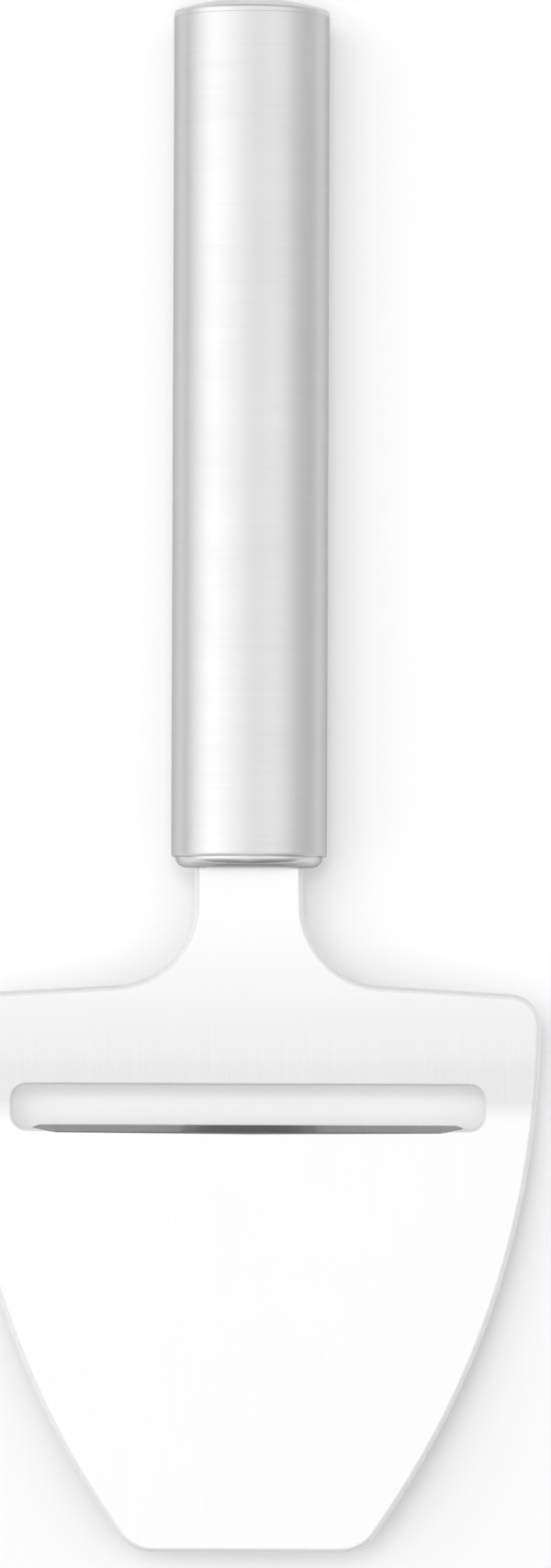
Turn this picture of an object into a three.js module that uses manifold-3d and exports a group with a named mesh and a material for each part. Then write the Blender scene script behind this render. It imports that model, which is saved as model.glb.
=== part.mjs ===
// Cheese slicer: a spade-shaped blade of sheet steel on a round hollow handle.
// A slot runs across the blade, and the edge of the slot on the tip's side is ground to a cutting lip.
// Millimetres, +Z up. X runs across the blade, and Y along the tool from the blade's tip to the butt.
// The slicer lies as on a table: the handle rests on Z = 0 and its weight holds the blade up clear of it.
// Y = 0 is mid-length.
// While it is built, Y = 0 is the front end of the handle tube and Z = 0 the handle's axis.
import * as THREE from "three";
import { mergeVertices } from "three/addons/utils/BufferGeometryUtils.js";
import Module from "manifold-3d";

const wasm = await Module();
wasm.setup();

// Handle tube, with its front lip rounded over
const handleDiameter = 22;
const tubeWall = 1;
const tubeLength = 118.4;
const tubeLipRadius = 0.3;

// Clearances
const boreClearance = 0.1; // round pieces in the tube's bore, on the radius
const seatClearance = 0.3; // pieces that stand end to end
const tangClearance = 0.25; // the tang in its slot and pocket, on each face
const pinClearance = 0.15; // the pin in its holes, on the radius
const sealClearance = 0.05; // a seal ring against the bore and in its groove
const coreParting = 0.1; // between the two half cores

// Front plug: a round-edged nose that seats on the tube's end, and a spigot inside the tube
const noseDiameter = 20.8;
const noseLength = 1.5;
const noseSeam = 0.1;
const spigotLength = 12;

// End cap: a dome on a short rim that is flush with the tube, and a hollow skirt inside the tube
const capSeam = 0.15;
const capRim = 0.8;
const domeRise = 1.8;
const crownThickness = 2;
const skirtLength = 9;
const skirtWall = 2.6;

// Seal rings of the plug and the cap
const sealSection = 1.2;
const sealSetback = 4;

// Half cores, and the pin that locks the tang in them
const coreLength = 46;
const pinDiameter = 4;
const pinSetback = 32;
const pinRecess = 1.2;

// Tang: the strip of the blade inside the handle
const tangWidth = 12;
const tangLength = 44;

// Blade in plan: reaches are measured from the tube's front end towards the tip
const bladeReach = 98.15;
const bladeWidth = 82.5;
const tipWidth = 32.6; // where the side curves would meet the tip's straight edge
const tipCornerRadius = 6.3;
const neckWidth = 15.3;
const neckCornerRadius = 0.8;
const neckFilletRadius = 11.5;
const shoulderReach = 19.45; // where the shoulder line would meet the blade's side
const shoulderSlope = 3.4; // degrees
const shoulderCornerRadius = 4.5;

// Blade from the side: flat neck, bend, straight run down to the slot, crease, and a flat tip plate
// that is parallel to the handle's axis
const sheet = 1.2;
const bendStart = 7.45;
const bendEnd = 29.45;
const bendAngle = 14; // degrees below the handle's axis
const creaseReach = 35.9;
const creaseRadius = 12;

// Slot and cutting lip
const slotReach = 32.1;
const slotWidth = 7;
const slotLength = 66.6;
const slotCornerRadius = 1.8;
const lipLength = 59;
const lipStandout = 1.4; // how far the lip reaches into the slot, ground to a bevel all the way
const lipRunout = 1.3; // length of each slanted end of the lip
const edgeLand = 0.12; // thickness left at the cutting edge

const roundSides = 48;
const flatDown = Math.PI / roundSides; // half a side's turn
const arcSteps = 10;

const degrees = Math.PI / 180;
const handleRadius = handleDiameter / 2;
const boreRadius = handleRadius - tubeWall;
const plugRadius = boreRadius - boreClearance;
const neckReach = noseLength + seatClearance;
const capStart = tubeLength + capSeam;
const domeStart = capStart + capRim;
const buttReach = domeStart + domeRise;
const coreStart = spigotLength + seatClearance;
const grooveFloor = boreRadius - sealSection - 2 * sealClearance;
const grooveHalf = sealSection / 2 + sealClearance;
const frontSealAt = sealSetback;
const endSealAt = tubeLength - sealSetback;
const beyond = bladeReach + buttReach; // further than any piece reaches

// A closed geometry as a solid
function solid(geometry) {
  const bare = geometry.index ? geometry.toNonIndexed() : geometry.clone();
  bare.deleteAttribute("normal");
  bare.deleteAttribute("uv");
  const merged = mergeVertices(bare, 1e-4);
  const corners = merged.index.array;
  const triangles = [];
  for (let i = 0; i < corners.length; i += 3) {
    const [a, b, c] = corners.slice(i, i + 3);
    if (a !== b && b !== c && c !== a) triangles.push(a, b, c);
  }
  const mesh = new wasm.Mesh({
    numProp: 3,
    vertProperties: merged.attributes.position.array,
    triVerts: new Uint32Array(triangles),
  });
  return new wasm.Manifold(mesh);
}

// A solid as a geometry that can be shown
function geometryOf(body) {
  const mesh = body.getMesh();
  const geometry = new THREE.BufferGeometry();
  geometry.setAttribute("position", new THREE.BufferAttribute(mesh.vertProperties, 3));
  geometry.setIndex(new THREE.BufferAttribute(mesh.triVerts, 1));
  geometry.computeVertexNormals();
  return geometry;
}

// A ring or disc turned about the Y axis from a closed outline of [radius, y] points, with a flat downwards
function turned(outline) {
  const points = outline.map(([radius, y]) => new THREE.Vector2(radius, y));
  if (THREE.ShapeUtils.area(points) < 0) points.reverse();
  const start = points.findIndex((p, i) => p.x === 0 && points.at(i - 1).x === 0);
  const profile = start < 0 ? [...points, points[0]] : [...points.slice(start), ...points.slice(0, start)];
  return solid(new THREE.LatheGeometry(profile, roundSides, flatDown));
}

// An outline in plan, [x, y], standing through the whole height
function upright(outline) {
  const shape = new THREE.Shape(outline.map(([x, y]) => new THREE.Vector2(x, y)));
  const prism = new THREE.ExtrudeGeometry(shape, { depth: beyond, bevelEnabled: false });
  return solid(prism.translate(0, 0, -beyond / 2));
}

// An outline from the side, [reach, z], running through the whole width
function crosswise(outline) {
  const shape = new THREE.Shape(outline.map(([reach, z]) => new THREE.Vector2(-reach, z)));
  const prism = new THREE.ExtrudeGeometry(shape, { depth: beyond, bevelEnabled: false });
  const across = new THREE.Vector3(1, 0, 0);
  const along = new THREE.Vector3(0, 1, 0);
  const up = new THREE.Vector3(0, 0, 1);
  prism.translate(0, 0, -beyond / 2).applyMatrix4(new THREE.Matrix4().makeBasis(along, up, across));
  return solid(prism);
}

function box(width, length, height, x, y, z) {
  return solid(new THREE.BoxGeometry(width, length, height).translate(x, y, z));
}

// A round bar along Z
function bar(radius, height, y) {
  const cylinder = new THREE.CylinderGeometry(radius, radius, height, roundSides / 2);
  return solid(cylinder.rotateX(Math.PI / 2).translate(0, y, 0));
}

function arc(x, y, radius, from, to) {
  const steps = Array.from({ length: arcSteps + 1 }, (_, i) => from + ((to - from) * i) / arcSteps);
  return steps.map((angle) => [x + radius * Math.cos(angle), y + radius * Math.sin(angle)]);
}

// The arc that rounds a corner between two straight runs
function fillet(before, corner, after, radius) {
  const at = new THREE.Vector2(...corner);
  const back = new THREE.Vector2(...before).sub(at).normalize();
  const on = new THREE.Vector2(...after).sub(at).normalize();
  const half = Math.acos(back.dot(on)) / 2;
  const middle = back.clone().add(on).normalize();
  const centre = at.clone().addScaledVector(middle, radius / Math.sin(half));
  const first = at.clone().addScaledVector(back, radius / Math.tan(half)).sub(centre);
  const last = at.clone().addScaledVector(on, radius / Math.tan(half)).sub(centre);
  const turn = Math.atan2(first.cross(last), first.dot(last));
  return arc(centre.x, centre.y, radius, first.angle(), first.angle() + turn);
}

// Both halves of an outline from its right half, which starts and ends clear of the middle
function mirrored(right) {
  return [...right, ...right.map(([x, y]) => [-x, y]).reverse()];
}

// The blade's outline in plan
function bladeOutline() {
  const side = bladeWidth / 2;
  const neck = neckWidth / 2;
  const tang = tangWidth / 2;
  const shoulderAt = (x) => shoulderReach - (side - x) * Math.tan(shoulderSlope * degrees);
  const neckTop = [neck, -neckReach];
  const neckFoot = [neck, -shoulderAt(neck)];
  const shoulderCorner = [side, -shoulderReach];
  const shoulder = fillet(neckFoot, shoulderCorner, [side, -bladeReach], shoulderCornerRadius);
  const curveStart = -shoulder.at(-1)[1];
  const inset = (bladeWidth - tipWidth) / 2;
  const curveRadius = ((bladeReach - curveStart) ** 2 + inset ** 2) / (2 * inset);
  const cornerReach = bladeReach - tipCornerRadius;
  const curveTurn = Math.asin((cornerReach - curveStart) / (curveRadius - tipCornerRadius));
  const cornerX = side - curveRadius + (curveRadius - tipCornerRadius) * Math.cos(curveTurn);
  const right = [
    [tang, tangLength],
    [tang, -neckReach],
    ...fillet([tang, -neckReach], neckTop, neckFoot, neckCornerRadius),
    ...fillet(neckTop, neckFoot, shoulderCorner, neckFilletRadius),
    ...shoulder,
    ...arc(side - curveRadius, -curveStart, curveRadius, 0, -curveTurn).slice(1),
    ...arc(cornerX, -cornerReach, tipCornerRadius, -curveTurn, -Math.PI / 2).slice(1),
  ];
  return mirrored(right);
}

// The middle of the sheet from the side: reach, z and the angle below the handle's axis
const bendTurn = bendAngle * degrees;
const bendRadius = (bendEnd - bendStart) / Math.sin(bendTurn);
const bendDrop = bendRadius * (1 - Math.cos(bendTurn));
const plateZ = -bendDrop - (creaseReach - bendEnd) * Math.tan(bendTurn);

function sheetPath() {
  const steps = Array.from({ length: arcSteps + 1 }, (_, i) => i / arcSteps);
  const bend = steps.map((share) => ({
    reach: bendStart + bendRadius * Math.sin(bendTurn * share),
    z: -bendRadius * (1 - Math.cos(bendTurn * share)),
    turn: bendTurn * share,
  }));
  const creaseEnd = creaseReach + creaseRadius * Math.tan(bendTurn / 2);
  const crease = steps.map((share) => ({
    reach: creaseEnd - creaseRadius * Math.sin(bendTurn * (1 - share)),
    z: plateZ + creaseRadius * (1 - Math.cos(bendTurn * (1 - share))),
    turn: bendTurn * (1 - share),
  }));
  const start = { reach: -beyond, z: 0, turn: 0 };
  const end = { reach: bladeReach + beyond, z: plateZ, turn: 0 };
  return [start, ...bend, ...crease, end];
}

// The height of the middle of the sheet at a reach
function sheetZ(reach) {
  const path = sheetPath();
  const next = path.findIndex((point) => point.reach > reach);
  const [before, after] = [path[next - 1], path[next]];
  const share = (reach - before.reach) / (after.reach - before.reach);
  return before.z + (after.z - before.z) * share;
}

function bentSheet() {
  const path = sheetPath();
  const face = (side) =>
    path.map(({ reach, z, turn }) => [
      reach + side * (sheet / 2) * Math.sin(turn),
      z + side * (sheet / 2) * Math.cos(turn),
    ]);
  return crosswise([...face(1), ...face(-1).reverse()]);
}

const slotFar = slotReach + slotWidth;
const edgeReach = slotFar - lipStandout;

// The slot in plan: a round-cornered opening that the lip reaches into
function slotOutline() {
  const half = slotLength / 2;
  const lipHalf = lipLength / 2;
  const near = [half, -slotReach];
  const far = [half, -slotFar];
  return mirrored([
    ...fillet([0, -slotReach], near, far, slotCornerRadius),
    ...fillet(near, far, [0, -slotFar], slotCornerRadius),
    [lipHalf + lipRunout, -slotFar],
    [lipHalf, -edgeReach],
  ]);
}

// What the grinding wheel takes off the lip's top face, down to the cutting edge
function bevelCut() {
  const edgeZ = sheetZ(edgeReach) - sheet / 2 + edgeLand;
  const rise = (sheetZ(slotFar) + sheet / 2 - edgeZ) / lipStandout;
  const bevelZ = (reach) => edgeZ + (reach - edgeReach) * rise;
  const from = edgeReach - lipStandout;
  const to = slotFar + sheet;
  const wheel = crosswise([
    [from, bevelZ(from)],
    [to, bevelZ(to)],
    [to, beyond / 2],
    [from, beyond / 2],
  ]);
  const stroke = box(lipLength + 2 * lipRunout, beyond, beyond, 0, -slotFar, 0);
  return wheel.intersect(stroke);
}

const tangHole = bar(pinDiameter / 2 + pinClearance, beyond, pinSetback);

function bladeGeometry() {
  const blank = bentSheet().intersect(upright(bladeOutline()));
  return geometryOf(blank.subtract(upright(slotOutline())).subtract(bevelCut()).subtract(tangHole));
}

function tubeGeometry() {
  const lipCentre = handleRadius - tubeLipRadius;
  const lip = arc(lipCentre, tubeLipRadius, tubeLipRadius, 0, -Math.PI / 2);
  const outline = [
    [boreRadius, tubeLength],
    [handleRadius, tubeLength],
    ...lip,
    [boreRadius, 0],
  ];
  return geometryOf(turned(outline));
}

// The groove of a seal ring, as a stretch of a turned outline
function groove(at) {
  return [
    [plugRadius, at - grooveHalf],
    [grooveFloor, at - grooveHalf],
    [grooveFloor, at + grooveHalf],
    [plugRadius, at + grooveHalf],
  ];
}

function plugGeometry() {
  const noseRound = noseLength - noseSeam;
  const nose = arc(noseDiameter / 2 - noseRound, -noseSeam, noseRound, -Math.PI / 2, 0);
  const body = turned([
    [0, -noseLength],
    ...nose,
    [plugRadius, -noseSeam],
    ...groove(frontSealAt),
    [plugRadius, spigotLength],
    [0, spigotLength],
  ]);
  const slot = box(tangWidth + 2 * tangClearance, beyond, sheet + 2 * tangClearance, 0, 0, 0);
  return geometryOf(body.subtract(slot));
}

function capGeometry() {
  const domeRadius = (handleRadius ** 2 + domeRise ** 2) / (2 * domeRise);
  const domeHalf = Math.asin(handleRadius / domeRadius);
  const dome = arc(0, buttReach - domeRadius, domeRadius, Math.PI / 2 - domeHalf, Math.PI / 2);
  const crownInside = buttReach - crownThickness;
  const skirtInside = plugRadius - skirtWall;
  const outline = [
    [0, crownInside],
    [skirtInside, crownInside],
    [skirtInside, tubeLength - skirtLength],
    [plugRadius, tubeLength - skirtLength],
    ...groove(endSealAt),
    [plugRadius, capStart],
    [handleRadius, capStart],
    ...dome.slice(0, -1),
    [0, buttReach],
  ];
  return geometryOf(turned(outline));
}

// One half of the core: side is 1 for the upper half and -1 for the lower
function coreGeometry(side) {
  const whole = turned([
    [0, coreStart],
    [plugRadius, coreStart],
    [plugRadius, coreStart + coreLength],
    [0, coreStart + coreLength],
  ]);
  const otherHalf = box(beyond, beyond, beyond, 0, coreStart, -side * (beyond / 2 - coreParting / 2));
  const pocketEnd = tangLength + seatClearance;
  const pocketWidth = tangWidth + 2 * tangClearance;
  const pocketHeight = sheet + 2 * tangClearance;
  const pocket = box(pocketWidth, pocketEnd, pocketHeight, 0, pocketEnd / 2, 0);
  return geometryOf(whole.subtract(otherHalf).subtract(pocket).subtract(tangHole));
}

function pinGeometry() {
  return geometryOf(bar(pinDiameter / 2, 2 * (plugRadius - pinRecess), pinSetback));
}

function sealGeometry(at) {
  const section = sealSection / 2;
  const middle = boreRadius - sealClearance - section;
  return geometryOf(turned(arc(middle, at, section, 0, 2 * Math.PI).slice(1)));
}

function steel(color, roughness) {
  return new THREE.MeshStandardMaterial({ color, roughness, metalness: 1 });
}

function plastic(color, roughness) {
  return new THREE.MeshStandardMaterial({ color, roughness, metalness: 0 });
}

const slicer = new THREE.Group();

function addPiece(name, geometry, material) {
  const piece = new THREE.Mesh(geometry, material);
  piece.name = name;
  slicer.add(piece);
}

addPiece("blade", bladeGeometry(), steel(0xeaeaea, 0.24));
addPiece("handle_tube", tubeGeometry(), steel(0xd4d4d4, 0.33));
addPiece("front_plug", plugGeometry(), steel(0xd4d4d4, 0.33));
addPiece("end_cap", capGeometry(), steel(0xd4d4d4, 0.33));
addPiece("core_upper", coreGeometry(1), plastic(0x4a4c50, 0.6));
addPiece("core_lower", coreGeometry(-1), plastic(0x44464a, 0.6));
addPiece("tang_pin", pinGeometry(), steel(0xc4c4c4, 0.3));
addPiece("front_seal", sealGeometry(frontSealAt), plastic(0x1e1e1e, 0.8));
addPiece("end_seal", sealGeometry(endSealAt), plastic(0x1e1e1e, 0.8));

// On the table: lowest points at Z = 0, and the middle of the whole length at Y = 0
slicer.position.set(0, (bladeReach - buttReach) / 2, handleRadius * Math.cos(flatDown));

export default slicer;
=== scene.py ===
import math

import bmesh
import bpy
from mathutils import Matrix, Vector


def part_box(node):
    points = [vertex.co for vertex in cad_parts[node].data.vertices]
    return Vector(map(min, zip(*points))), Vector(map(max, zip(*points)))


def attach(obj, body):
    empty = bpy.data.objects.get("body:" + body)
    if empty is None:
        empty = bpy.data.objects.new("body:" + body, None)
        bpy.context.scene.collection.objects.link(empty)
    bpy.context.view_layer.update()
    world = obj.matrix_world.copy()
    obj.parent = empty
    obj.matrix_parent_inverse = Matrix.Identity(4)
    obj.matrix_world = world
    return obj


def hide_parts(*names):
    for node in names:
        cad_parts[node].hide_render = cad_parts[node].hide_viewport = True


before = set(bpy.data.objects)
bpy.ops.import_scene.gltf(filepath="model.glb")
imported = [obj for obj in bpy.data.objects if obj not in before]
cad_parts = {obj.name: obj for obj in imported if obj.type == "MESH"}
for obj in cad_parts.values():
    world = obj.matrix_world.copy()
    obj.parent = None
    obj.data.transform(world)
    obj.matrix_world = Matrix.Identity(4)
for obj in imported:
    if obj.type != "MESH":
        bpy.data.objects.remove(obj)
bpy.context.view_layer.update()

# Camera: a long lens, high over the middle of the tool, that leans a little from the blade's side.
# The picture is 600 wide and 1708 high, and the lens is set by the tool's scale in it.
mm = 0.001
picture_height = 1708
picture_scale = 7.727 / mm
film_size = 36
camera_aim = Vector((3.7, -1.2, 11)) * mm
camera_distance = 1400 * mm
camera_lean = math.radians(1.5)
camera_roll = math.radians(0.21)

scene = bpy.context.scene
lens = bpy.data.cameras.new("camera")
lens.sensor_width = film_size
lens.lens = camera_distance * picture_scale / picture_height * film_size
camera = bpy.data.objects.new("camera", lens)
turn = Matrix.Rotation(camera_lean, 4, "X") @ Matrix.Rotation(camera_roll, 4, "Z")
camera.matrix_world = Matrix.Translation(camera_aim) @ turn @ Matrix.Translation((0, 0, camera_distance))
scene.collection.objects.link(camera)
scene.camera = camera
scene.view_settings.view_transform = "Standard"

# Blade: one piece of 1.2 mm stainless sheet, from the tang inside the handle to the straight tip. It is
# stamped flat with its slot, the slot's far edge is ground to a cutting lip and the rims are tumbled round.
# Then a press bends it down in front of the handle and level again at the slot.
tube_low, tube_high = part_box("handle_tube")
blade_low, blade_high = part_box("blade")
plug_low, plug_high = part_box("front_plug")
pin_low, pin_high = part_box("tang_pin")
handle_front = tube_low.y
axis_height = (tube_low.z + tube_high.z) / 2

sheet = 1.2 * mm
rim_round = 0.7 * mm
under_round = 0.35 * mm
slot_round = 0.42 * mm
rim_steps = 5
sharp_turn = math.radians(60)

tang_half = 6 * mm
pin_clearance = 0.15 * mm
pin_hole = (pin_high.x - pin_low.x) / 2 + pin_clearance
pin_y = (pin_low.y + pin_high.y) / 2
neck_half = 7.65 * mm
neck_clearance = 0.05 * mm
neck_top = plug_low.y - neck_clearance
neck_fillet = 11.5 * mm
blade_half = blade_high.x
shoulder = handle_front - 19.45 * mm
shoulder_slope = math.radians(3.4)
shoulder_corner = 4.5 * mm
tip = blade_low.y
tip_half = 16.3 * mm
tip_corner = 6.3 * mm

slot_half = 33.3 * mm
slot_near = handle_front - 32.1 * mm
slot_far = slot_near - 6.25 * mm
slot_corner = 2.1 * mm
lip_half = 29.5 * mm
lip_runout = 1.3 * mm
lip_edge = slot_far + 0.55 * mm
lip_land = 0.03 * mm
grind_line = slot_far - 0.57 * mm
grind_runout = 2.4 * mm
grind_blend = 0.2 * mm
blend_steps = 4

bend_start = handle_front - 7.45 * mm
bend_end = handle_front - 29.45 * mm
bend_angle = math.radians(14)
bend_steps = 40
crease = handle_front - 35.9 * mm
crease_radius = 12 * mm
crease_steps = 24

near_enough = 0.001 * mm
arc_steps = 16


def straight(mesh, pen, x, y):
    """Draws a straight edge from the pen's point."""
    drawn = bmesh.ops.extrude_vert_indiv(mesh, verts=[pen])["verts"][0]
    drawn.co = x, y, 0
    return drawn


def curve(mesh, pen, x, y, angle):
    """Draws an arc from the pen's point about a centre."""
    drawn = bmesh.ops.spin(mesh, geom=[pen], cent=(x, y, 0), axis=(0, 0, 1), angle=angle, steps=arc_steps)
    return next(part for part in drawn["geom_last"] if isinstance(part, bmesh.types.BMVert))


blank = bmesh.new()

# The right half of the blank is drawn first: its outline from the tang's end to the middle of the tip
square_on = math.pi / 2 - shoulder_slope
fillet_drop = (neck_half + neck_fillet - blade_half) * math.sin(shoulder_slope)
fillet_y = shoulder + (neck_fillet - fillet_drop) / math.cos(shoulder_slope)
corner_y = shoulder - shoulder_corner * (1 - math.sin(shoulder_slope)) / math.cos(shoulder_slope)
inset = blade_half - tip_half
side_radius = ((corner_y - tip) ** 2 + inset**2) / (2 * inset)
side_turn = math.asin((corner_y - tip - tip_corner) / (side_radius - tip_corner))
tip_corner_x = blade_half - side_radius + (side_radius - tip_corner) * math.cos(side_turn)
shoulder_start = blade_half - shoulder_corner * (1 - math.sin(shoulder_slope))

tang_middle = blank.verts.new((0, blade_high.y, 0))
pen = straight(blank, tang_middle, tang_half, blade_high.y)
pen = straight(blank, pen, tang_half, neck_top)
pen = straight(blank, pen, neck_half, neck_top)
pen = straight(blank, pen, neck_half, fillet_y)
pen = curve(blank, pen, neck_half + neck_fillet, fillet_y, square_on)
pen = straight(blank, pen, shoulder_start, corner_y + shoulder_corner * math.cos(shoulder_slope))
pen = curve(blank, pen, blade_half - shoulder_corner, corner_y, -square_on)
pen = curve(blank, pen, blade_half - side_radius, corner_y, -side_turn)
pen = curve(blank, pen, tip_corner_x, tip + tip_corner, side_turn - math.pi / 2)
pen = straight(blank, pen, 0, tip)

# Then the slot, from the line of the grinding round its end to the near edge, and half of the pin's hole
grind_middle = straight(blank, pen, 0, grind_line)
grind_end = straight(blank, grind_middle, lip_half - grind_runout, grind_line)
runout = straight(blank, grind_end, lip_half + lip_runout, slot_far)
pen = straight(blank, runout, slot_half - slot_corner, slot_far)
pen = curve(blank, pen, slot_half - slot_corner, slot_far + slot_corner, math.pi / 2)
pen = straight(blank, pen, slot_half, slot_near - slot_corner)
pen = curve(blank, pen, slot_half - slot_corner, slot_near - slot_corner, math.pi / 2)
pen = straight(blank, pen, 0, slot_near)
pen = straight(blank, pen, 0, pin_y - pin_hole)
pen = curve(blank, pen, 0, pin_y, math.pi)
blank.edges.new((pen, tang_middle))
bmesh.ops.contextual_create(blank, geom=blank.edges[:])

# The ground strip along the slot's far edge, with its run-out
ground_edge = blank.edges.get((grind_end, grind_middle))
strip = bmesh.ops.extrude_edge_only(blank, edges=[ground_edge])["geom"]
strip_corners = [part for part in strip if isinstance(part, bmesh.types.BMVert)]
bmesh.ops.translate(blank, verts=strip_corners, vec=(0, lip_edge - grind_line, 0))
strip_end = max(strip_corners, key=lambda corner: corner.co.x)
edge_end = straight(blank, strip_end, lip_half, lip_edge)
bmesh.ops.contextual_create(blank, geom=[grind_end, strip_end, edge_end])
bmesh.ops.contextual_create(blank, geom=[grind_end, edge_end, runout])

# The whole blank: both halves, given the sheet's thickness
half = blank.verts[:] + blank.edges[:] + blank.faces[:]
bmesh.ops.mirror(blank, geom=half, axis="X", merge_dist=near_enough)
bmesh.ops.recalc_face_normals(blank, faces=blank.faces)
bmesh.ops.solidify(blank, geom=blank.faces[:], thickness=sheet)
lowest = min(corner.co.z for corner in blank.verts)
bmesh.ops.translate(blank, verts=blank.verts, vec=(0, 0, -sheet / 2 - lowest))

# The lip is ground down to its cutting edge. The faces take their finish by its place in the blade's list
# of materials: satin is first, and ground and tumbled come after it. The ground steel's dark colour is partly
# its finish and partly painted shade, and the tumbled steel's pale colour is partly its finish and partly
# painted light.
ground = 1
tumbled = 2
for corner in blank.verts:
    if abs(corner.co.y - lip_edge) < near_enough and corner.co.z > 0:
        corner.co.z = lip_land - sheet / 2
        for face in corner.link_faces:
            if face.calc_center_median().z > corner.co.z:
                face.material_index = ground


def on_grind_line(corner):
    """Whether a corner of the blank is on its top face, where the grinding starts."""
    return abs(corner.co.y - grind_line) < near_enough and corner.co.z > 0


def on_lip(corner):
    """Whether a corner of the blank is in the ground strip."""
    strip_width = lip_edge - grind_line
    along = abs(corner.co.x) < lip_half + near_enough
    return along and abs(corner.co.y - lip_edge) < strip_width + near_enough


def round_off(edges, radius, steps, finish, slide):
    """Rounds edges of the blank and gives the new faces their finish."""
    rounded = bmesh.ops.bevel(
        blank,
        geom=edges,
        offset=radius,
        segments=steps,
        profile=0.5,
        affect="EDGES",
        material=-1,
        loop_slide=slide,
    )
    for face in rounded["faces"]:
        face.material_index = finish


# The grinding blends into the plate, and the rims are rounded, apart from the tang's and the lip's
blended = [edge for edge in blank.edges if all(on_grind_line(corner) for corner in edge.verts)]
rims = {rim_round: [], under_round: [], slot_round: []}
for edge in blank.edges:
    start, end = edge.verts
    flat = abs(start.co.z - end.co.z) < near_enough
    in_handle = min(start.co.y, end.co.y) > neck_top - near_enough
    ground_rim = on_lip(start) or on_lip(end)
    if flat and not in_handle and not ground_rim and edge.calc_face_angle(0) > sharp_turn:
        across_slot = abs(start.co.x) < slot_half + near_enough
        if across_slot and slot_far - near_enough < start.co.y < slot_near + near_enough:
            rims[slot_round].append(edge)
        elif start.co.z > 0:
            rims[rim_round].append(edge)
        else:
            rims[under_round].append(edge)
round_off(blended, grind_blend, blend_steps, ground, slide=True)
for radius, edges in rims.items():
    round_off(edges, radius, rim_steps, tumbled, slide=False)

# The press: the blank is scored across where it bends, then every point takes its place on the bent sheet
bend_radius = (bend_start - bend_end) / math.sin(bend_angle)
bend_drop = bend_radius * (1 - math.cos(bend_angle))
plate_drop = bend_drop + (bend_end - crease) * math.tan(bend_angle)
crease_end = crease - crease_radius * math.tan(bend_angle / 2)
crease_start = crease_end + crease_radius * math.sin(bend_angle)


def press(y):
    """The sheet's drop below the handle's axis, and its lean, at a place along the tool."""
    if y > bend_end:
        lean = math.asin(max(bend_start - y, 0) / bend_radius)
        return bend_radius * (1 - math.cos(lean)), lean
    if y > crease_start:
        return bend_drop + (bend_end - y) * math.tan(bend_angle), bend_angle
    lean = math.asin(max(y - crease_end, 0) / crease_radius)
    return plate_drop - crease_radius * (1 - math.cos(lean)), lean


for start, end, steps in ((bend_start, bend_end, bend_steps), (crease_start, crease_end, crease_steps)):
    for step in range(steps + 1):
        line = (0, start + (end - start) * step / steps, 0)
        whole = blank.verts[:] + blank.edges[:] + blank.faces[:]
        bmesh.ops.bisect_plane(blank, geom=whole, dist=near_enough, plane_co=line, plane_no=(0, 1, 0))
for corner in blank.verts:
    drop, lean = press(corner.co.y)
    above = corner.co.z
    corner.co.y -= above * math.sin(lean)
    corner.co.z = axis_height - drop + above * math.cos(lean)


def grey(level):
    """A plain grey as a colour."""
    return level, level, level, 1


class Tone:
    """A value in a node tree. Arithmetic on it adds Math nodes to the tree."""

    def __init__(self, tree, socket=None):
        self.tree = tree
        self.socket = socket

    def node(self, kind, settings=(), inputs=(), output=0):
        """Adds a node with its settings and its inputs, and gives one of its outputs."""
        made = self.tree.nodes.new(kind)
        for name, setting in dict(settings).items():
            if name == "stops":
                ramp = made.color_ramp
                while len(ramp.elements) < len(setting):
                    ramp.elements.new(1)
                for element, (place, level) in zip(ramp.elements, setting):
                    element.position = place
                    element.color = grey(level)
            else:
                setattr(made, name, setting)
        for name, value in dict(inputs).items():
            self.feed(made.inputs[name], value)
        return Tone(self.tree, made.outputs[output])

    def feed(self, socket, value):
        """Links a tone to a socket, or sets the socket to a plain value."""
        if isinstance(value, Tone):
            self.tree.links.new(value.socket, socket)
        else:
            socket.default_value = value

    def other(self, output):
        """Another output of the node that this tone comes from."""
        return Tone(self.tree, self.socket.node.outputs[output])

    def math(self, operation, *values):
        """Adds a Math node on its values."""
        return self.node("ShaderNodeMath", {"operation": operation}, enumerate(values))

    def __add__(self, added):
        return self.math("ADD", self, added)

    def __sub__(self, taken):
        return self.math("SUBTRACT", self, taken)

    def __rsub__(self, start):
        return self.math("SUBTRACT", start, self)

    def __mul__(self, factor):
        return self.math("MULTIPLY", self, factor)

    def __abs__(self):
        return self.math("ABSOLUTE", self)

    __radd__ = __add__
    __rmul__ = __mul__


def finish_of(name):
    """A new material, the tone that its nodes start from, and its surface shader."""
    material = bpy.data.materials.new(name)
    material.use_nodes = True
    return material, Tone(material.node_tree), material.node_tree.nodes["Principled BSDF"]


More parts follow.
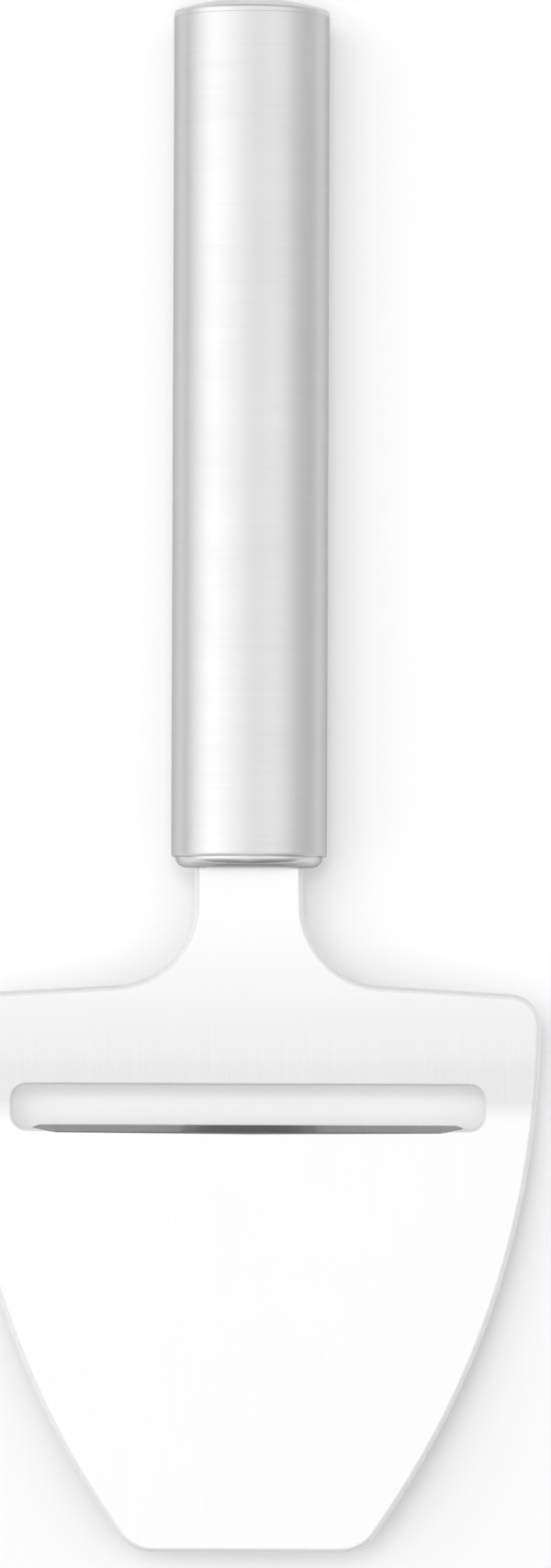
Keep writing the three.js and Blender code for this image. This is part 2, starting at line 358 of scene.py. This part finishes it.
def brushed_steel(name, level, roughness, lines, depth, contrast, edge_tint=1):
    """Stainless steel with brush lines: lines is how many of them there are in a metre, along x, y and z."""
    brushed_share = 0.7
    dulling = 0.16
    line_depth = 0.01 * mm
    material, tone, surface = finish_of(name)
    place = tone.node("ShaderNodeTexCoord", output="Object")
    across = tone.node("ShaderNodeMapping", {}, {"Vector": place, "Scale": lines})
    brushing = {"Vector": across, "Scale": 1, "Detail": 4, "Roughness": 0.65}
    streaks = tone.node("ShaderNodeTexNoise", {}, brushing)
    handling = {"Vector": place, "Scale": 90, "Detail": 3, "Roughness": 0.5}
    clouds = tone.node("ShaderNodeTexNoise", {}, handling)
    shine = streaks * brushed_share + clouds * (1 - brushed_share)
    shades = {"Factor": shine, "A": grey(level * (1 - contrast)), "B": grey(level * (1 + contrast))}
    colour = tone.node("ShaderNodeMix", {"data_type": "RGBA"}, shades, output="Result")
    bump = tone.node("ShaderNodeBump", {}, {"Strength": depth, "Distance": line_depth, "Height": streaks})
    tone.feed(surface.inputs["Base Color"], colour)
    tone.feed(surface.inputs["Roughness"], roughness + (0.5 - shine) * dulling)
    tone.feed(surface.inputs["Metallic"], 1)
    tone.feed(surface.inputs["Specular Tint"], grey(edge_tint))
    tone.feed(surface.inputs["Normal"], bump)
    return material


def fit(name, mesh, materials, node):
    """Makes a modelled mesh the piece that stands for a node of the frame."""
    merge_within = near_enough / 10
    smooth_turn = math.radians(30)
    bmesh.ops.remove_doubles(mesh, verts=mesh.verts, dist=merge_within)
    bmesh.ops.recalc_face_normals(mesh, faces=mesh.faces)
    data = bpy.data.meshes.new(name)
    mesh.to_mesh(data)
    mesh.free()
    data.shade_smooth()
    data.set_sharp_from_angle(angle=smooth_turn)
    for material in materials:
        data.materials.append(material)
    piece = bpy.data.objects.new(name, data)
    scene.collection.objects.link(piece)
    even = piece.modifiers.new("even_shading", "WEIGHTED_NORMAL")
    even.keep_sharp = True
    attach(piece, "root")
    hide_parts(node)


blade_steel = brushed_steel(
    "blade_steel", level=0.83, roughness=0.18, lines=(2600, 60, 60), depth=0.03, contrast=0.02
)
# The ground strip's steel is far darker than the satin: partly its ground finish, partly painted shade that
# deepens the dark the strip reflects.
painted_shade_ground_steel = brushed_steel(
    "painted_shade_ground_steel", level=0.31, roughness=0.12, lines=(7000, 60, 60), depth=0.05, contrast=0.05
)
# The rims' steel is rougher, as tumbled steel is, and paler than the blade's steel: the paler colour is
# painted light that lifts the dark lines the rounded rims reflect.
painted_light_tumbled_steel = brushed_steel(
    "painted_light_tumbled_steel", level=0.92, roughness=0.72, lines=(900, 900, 900), depth=0.05, contrast=0.04
)
fit("pressed_blade", blank, [blade_steel, painted_shade_ground_steel, painted_light_tumbled_steel], "blade")

# Half cores and pin: two halves of moulded black plastic clamp the tang inside the handle, and a ground
# steel dowel goes through both and through the tang's hole. They are out of sight in the closed handle.


def moulded(name, level, roughness, grain):
    """Matt moulded plastic or rubber with a fine spark-eroded grain, of so many pits to the metre. Its colour
    is painted shade in the pits and painted light on the peaks, which are also a little bluer as a painted
    sheen.
    """
    painted_shade_and_light = 0.2
    painted_blue_sheen = 0.25
    dulling = 0.2
    pit_depth = 0.03 * mm
    pit_strength = 0.3
    material, tone, surface = finish_of(name)
    place = tone.node("ShaderNodeTexCoord", output="Object")
    pits = tone.node("ShaderNodeTexNoise", {}, {"Vector": place, "Scale": grain, "Detail": 3})
    # The pits are painted darker and the peaks lighter and bluer: painted shade and sheen on the grain.
    light = (level * (1 + painted_shade_and_light), level * (1 + painted_shade_and_light), level * (1 + painted_blue_sheen), 1)
    shades = {"Factor": pits, "A": grey(level * (1 - painted_shade_and_light)), "B": light}
    colour = tone.node("ShaderNodeMix", {"data_type": "RGBA"}, shades, output="Result")
    bump = tone.node("ShaderNodeBump", {}, {"Strength": pit_strength, "Distance": pit_depth, "Height": pits})
    tone.feed(surface.inputs["Base Color"], colour)
    tone.feed(surface.inputs["Roughness"], roughness + (pits - 0.5) * dulling)
    tone.feed(surface.inputs["Normal"], bump)
    return material


core_plastic = moulded("core_plastic", level=0.07, roughness=0.6, grain=2500)
for name in ("core_upper", "core_lower"):
    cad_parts[name].material_slots[0].material = core_plastic
pin_steel = brushed_steel(
    "pin_steel", level=0.6, roughness=0.25, lines=(80, 80, 4000), depth=0.1, contrast=0.06
)
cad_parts["tang_pin"].material_slots[0].material = pin_steel

# Front plug and its seal: a turned stainless plug closes the tube's front end. Its rounded nose stands out
# of the tube, the tang goes through a broached slot in it, and a rubber ring in its groove keeps water out
# of the handle.
seal_low, seal_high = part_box("front_seal")
plug_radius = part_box("core_upper")[1].x
nose_radius = plug_high.x
nose_clearance = 0.05 * mm
nose_back = handle_front - nose_clearance
nose_round = nose_back - plug_low.y
seal_gap = 0.05 * mm
groove_front = seal_low.y - seal_gap
groove_back = seal_high.y + seal_gap
groove_floor = seal_high.x - (seal_high.y - seal_low.y) - seal_gap
broach_clearance = 0.25 * mm
broach_half_width = tang_half + broach_clearance
broach_half_height = sheet / 2 + broach_clearance
lathe_steps = 128


def lathe(mesh):
    """Turns a profile in the plane of X and Y, with X as its radius, about the handle's axis."""
    bmesh.ops.spin(
        mesh,
        geom=mesh.verts[:] + mesh.edges[:],
        cent=(0, 0, 0),
        axis=(0, 1, 0),
        angle=2 * math.pi,
        steps=lathe_steps,
        use_merge=True,
    )
    bmesh.ops.remove_doubles(mesh, verts=mesh.verts, dist=near_enough)
    bmesh.ops.translate(mesh, verts=mesh.verts, vec=(0, 0, axis_height))


plug = bmesh.new()
pen = plug.verts.new((0, plug_low.y, 0))
pen = straight(plug, pen, nose_radius - nose_round, plug_low.y)
pen = curve(plug, pen, nose_radius - nose_round, nose_back, math.pi / 2)
pen = straight(plug, pen, plug_radius, nose_back)
pen = straight(plug, pen, plug_radius, groove_front)
pen = straight(plug, pen, groove_floor, groove_front)
pen = straight(plug, pen, groove_floor, groove_back)
pen = straight(plug, pen, plug_radius, groove_back)
pen = straight(plug, pen, plug_radius, plug_high.y)
pen = straight(plug, pen, 0, plug_high.y)
lathe(plug)


def end_faces(y):
    """The faces of the plug's flat end at a place along the tool."""
    return [face for face in plug.faces if abs(face.calc_center_median().y - y) < near_enough]


# The broached slot: both end faces are cut round it, and its walls join the two openings
cuts = [((way * broach_half_width, 0, 0), (1, 0, 0)) for way in (-1, 1)]
cuts += [((0, 0, axis_height + way * broach_half_height), (0, 0, 1)) for way in (-1, 1)]
for place, normal in cuts:
    ends = end_faces(plug_low.y) + end_faces(plug_high.y)
    edges = list(dict.fromkeys(edge for face in ends for edge in face.edges))
    corners = list(dict.fromkeys(corner for face in ends for corner in face.verts))
    cut = ends + edges + corners
    bmesh.ops.bisect_plane(plug, geom=cut, dist=near_enough, plane_co=place, plane_no=normal)
opened = []
for face in end_faces(plug_low.y) + end_faces(plug_high.y):
    middle = face.calc_center_median()
    if abs(middle.x) < broach_half_width and abs(middle.z - axis_height) < broach_half_height:
        opened.append(face)
bmesh.ops.delete(plug, geom=opened, context="FACES")
mouths = [edge for edge in plug.edges if edge.is_boundary]
bmesh.ops.bridge_loops(plug, edges=mouths)

plug_steel = brushed_steel(
    "plug_steel", level=0.75, roughness=0.29, lines=(120, 5000, 120), depth=0.1, contrast=0.05, edge_tint=0.45
)
fit("turned_plug", plug, [plug_steel], "front_plug")
seal_rubber = moulded("seal_rubber", level=0.02, roughness=0.75, grain=3500)
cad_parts["front_seal"].material_slots[0].material = seal_rubber

# Handle tube: a drawn stainless tube with a wall of 1 mm. Its front end is rolled in a little, and it is
# brushed on a lathe, so that the fine lines of its satin finish run round it.
tube_wall = 1 * mm
tube_radius = tube_high.x
tube_bore = tube_radius - tube_wall
roll_radius = 1.7 * mm
roll_turn = math.radians(22)
roll_x = tube_radius - roll_radius
roll_y = tube_low.y + roll_radius * math.sin(roll_turn)
tube_burr = 0.015 * mm
seam_gap = 0.01 * mm
seam = tube_high.y + 0.075 * mm
tube_end = seam - seam_gap / 2

tube = bmesh.new()
pen = tube.verts.new((tube_bore, tube_low.y, 0))
pen = straight(tube, pen, roll_x + roll_radius * math.cos(roll_turn), tube_low.y)
pen = curve(tube, pen, roll_x, roll_y, roll_turn)
pen = straight(tube, pen, tube_radius, tube_end - tube_burr)
pen = curve(tube, pen, tube_radius - tube_burr, tube_end - tube_burr, math.pi / 2)
pen = straight(tube, pen, tube_bore, tube_end)
pen = straight(tube, pen, tube_bore, tube_low.y)
lathe(tube)

tube_steel = brushed_steel(
    "tube_steel", level=0.66, roughness=0.33, lines=(70, 4200, 70), depth=0.16, contrast=0.06, edge_tint=0.58
)
fit("drawn_tube", tube, [tube_steel], "handle_tube")

# End cap and its seal: a domed cap of pressed stainless, bonded into the tube's rear end. Its short rim is
# flush with the tube, with a hairline seam between them, and its skirt carries the rear seal ring.
cap_low, cap_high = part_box("end_cap")
end_seal_low, end_seal_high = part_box("end_seal")
cap_edge = 0.4 * mm
crown = 2 * mm
skirt_wall = 2.6 * mm
skirt_bore = plug_radius - skirt_wall
rim_start = seam + seam_gap / 2
dome_rise = 1.8 * mm
dome_radius = (tube_radius**2 + dome_rise**2) / (2 * dome_rise)
dome_centre = cap_high.y - dome_radius
edge_centre = dome_centre + math.sqrt((dome_radius - cap_edge) ** 2 - (tube_radius - cap_edge) ** 2)
edge_turn = math.atan2(edge_centre - dome_centre, tube_radius - cap_edge)

cap = bmesh.new()
pen = cap.verts.new((0, cap_high.y - crown, 0))
pen = straight(cap, pen, skirt_bore, cap_high.y - crown)
pen = straight(cap, pen, skirt_bore, cap_low.y)
pen = straight(cap, pen, plug_radius, cap_low.y)
pen = straight(cap, pen, plug_radius, end_seal_low.y - seal_gap)
pen = straight(cap, pen, groove_floor, end_seal_low.y - seal_gap)
pen = straight(cap, pen, groove_floor, end_seal_high.y + seal_gap)
pen = straight(cap, pen, plug_radius, end_seal_high.y + seal_gap)
pen = straight(cap, pen, plug_radius, rim_start)
pen = straight(cap, pen, tube_radius - tube_burr, rim_start)
pen = curve(cap, pen, tube_radius - tube_burr, rim_start + tube_burr, math.pi / 2)
pen = straight(cap, pen, tube_radius, edge_centre)
pen = curve(cap, pen, tube_radius - cap_edge, edge_centre, edge_turn)
pen = curve(cap, pen, 0, dome_centre, math.pi / 2 - edge_turn)
lathe(cap)

cap_steel = brushed_steel(
    "cap_steel", level=0.66, roughness=0.32, lines=(900, 900, 900), depth=0.1, contrast=0.05, edge_tint=0.85
)
fit("pressed_cap", cap, [cap_steel], "end_cap")
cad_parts["end_seal"].material_slots[0].material = seal_rubber

# Table and light: white paper under the tool, in a soft white studio that is brightest overhead and on the
# left and darker towards the tool's two ends. Two low grey cards beside the handle show only in the steel,
# and a wide soft key light and a lamp over the handle light the paper.
table_width = 16
table_level = 0.91
table_glow = 0.12
card_place = 46 * mm
left_card = 9 * mm
right_card = 19 * mm
card_front = tube_low.y - 12 * mm
card_back = tube_high.y + 30 * mm
card_level = 0.78
card_roughness = 0.9
studio_level = 1.77
studio_across = (
    (0, 0.746), (0.05, 1), (0.125, 0.971), (0.25, 0.859), (0.4, 0.746), (0.5, 0.678), (0.6, 0.668),
    (0.75, 0.741), (0.825, 0.751), (0.9, 0.683), (0.95, 0.561), (1, 0.42),
)
studio_along = (
    (0, 0.2), (0.05, 0.36), (0.175, 0.6), (0.265, 0.89), (0.34, 0.893), (0.38, 0.93), (0.44, 0.965), (0.5, 1),
    (0.625, 0.97), (0.735, 0.9), (0.825, 0.55), (0.95, 0.42), (1, 0.4),
)
key_strength = 0.5
key_width = math.radians(28)
key_from = Vector((-0.22, 0.15, 1))
lamp_power = 1.22
lamp_height = 450 * mm
lamp_cone = math.radians(44)
lamp_fade = 1
lamp_width = 40 * mm


def board(name, placing, finish):
    """A flat board of the studio, a metre square before its placing."""
    mesh = bmesh.new()
    bmesh.ops.create_grid(mesh, x_segments=1, y_segments=1, size=0.5, matrix=placing)
    data = bpy.data.meshes.new(name)
    mesh.to_mesh(data)
    mesh.free()
    data.materials.append(finish)
    made = bpy.data.objects.new(name, data)
    scene.collection.objects.link(made)
    return made


paper, tone, surface = finish_of("table_paper")
ray = tone.node("ShaderNodeLightPath", output="Is Camera Ray")
mirrored = tone.math("MAXIMUM", ray.other("Is Glossy Ray"), ray.other("Is Transmission Ray"))
seen = tone.math("MAXIMUM", ray, mirrored)
lit = tone.node("ShaderNodeBsdfDiffuse", {}, {"Color": grey(table_level)})
glow = tone.node("ShaderNodeEmission", {}, {"Color": grey(1), "Strength": 1})
mixed = tone.node("ShaderNodeMixShader", {}, {0: seen * table_glow, 1: lit, 2: glow})
tone.feed(paper.node_tree.nodes["Material Output"].inputs["Surface"], mixed)
paper.node_tree.nodes.remove(surface)
board("table", Matrix.Diagonal((table_width, table_width, 1, 1)), paper)

card_paper, tone, surface = finish_of("grey_card")
tone.feed(surface.inputs["Base Color"], grey(card_level))
tone.feed(surface.inputs["Roughness"], card_roughness)
upright = Matrix.Rotation(math.pi / 2, 4, "Y")
for name, place, height in (("left_card", -card_place, left_card), ("right_card", card_place, right_card)):
    middle = Matrix.Translation((place, (card_front + card_back) / 2, height / 2))
    trimmed = Matrix.Diagonal((height, card_back - card_front, 1, 1))
    card = board(name, middle @ upright @ trimmed, card_paper)
    card.visible_camera = False
    card.visible_diffuse = False
    card.visible_shadow = False

studio = bpy.data.worlds.new("studio")
studio.use_nodes = True
scene.world = studio
tone = Tone(studio.node_tree)
toward = tone.node("ShaderNodeTexCoord", output="Generated")
sideways = tone.node("ShaderNodeSeparateXYZ", {}, {"Vector": toward}, output="X")
along = sideways.other("Y")
band = tone.node("ShaderNodeValToRGB", {"stops": studio_across}, {"Fac": sideways * 0.5 + 0.5})
spread = along * (1 + abs(sideways))
fall = tone.node("ShaderNodeValToRGB", {"stops": studio_along}, {"Fac": spread * 0.5 + 0.5})
backdrop = studio.node_tree.nodes["Background"]
tone.feed(backdrop.inputs["Color"], band)
tone.feed(backdrop.inputs["Strength"], fall * studio_level)

key_light = bpy.data.lights.new("key", "SUN")
key_light.energy = key_strength
key_light.angle = key_width
key = bpy.data.objects.new("key", key_light)
key.matrix_world = key_from.to_track_quat("Z", "Y").to_matrix().to_4x4()
key.visible_glossy = False
scene.collection.objects.link(key)

lamp_light = bpy.data.lights.new("handle_lamp", "SPOT")
lamp_light.energy = lamp_power
lamp_light.spot_size = lamp_cone
lamp_light.spot_blend = lamp_fade
lamp_light.shadow_soft_size = lamp_width
lamp = bpy.data.objects.new("handle_lamp", lamp_light)
lamp.matrix_world = Matrix.Translation((0, (tube_low.y + tube_high.y) / 2, lamp_height))
lamp.visible_glossy = False
scene.collection.objects.link(lamp)
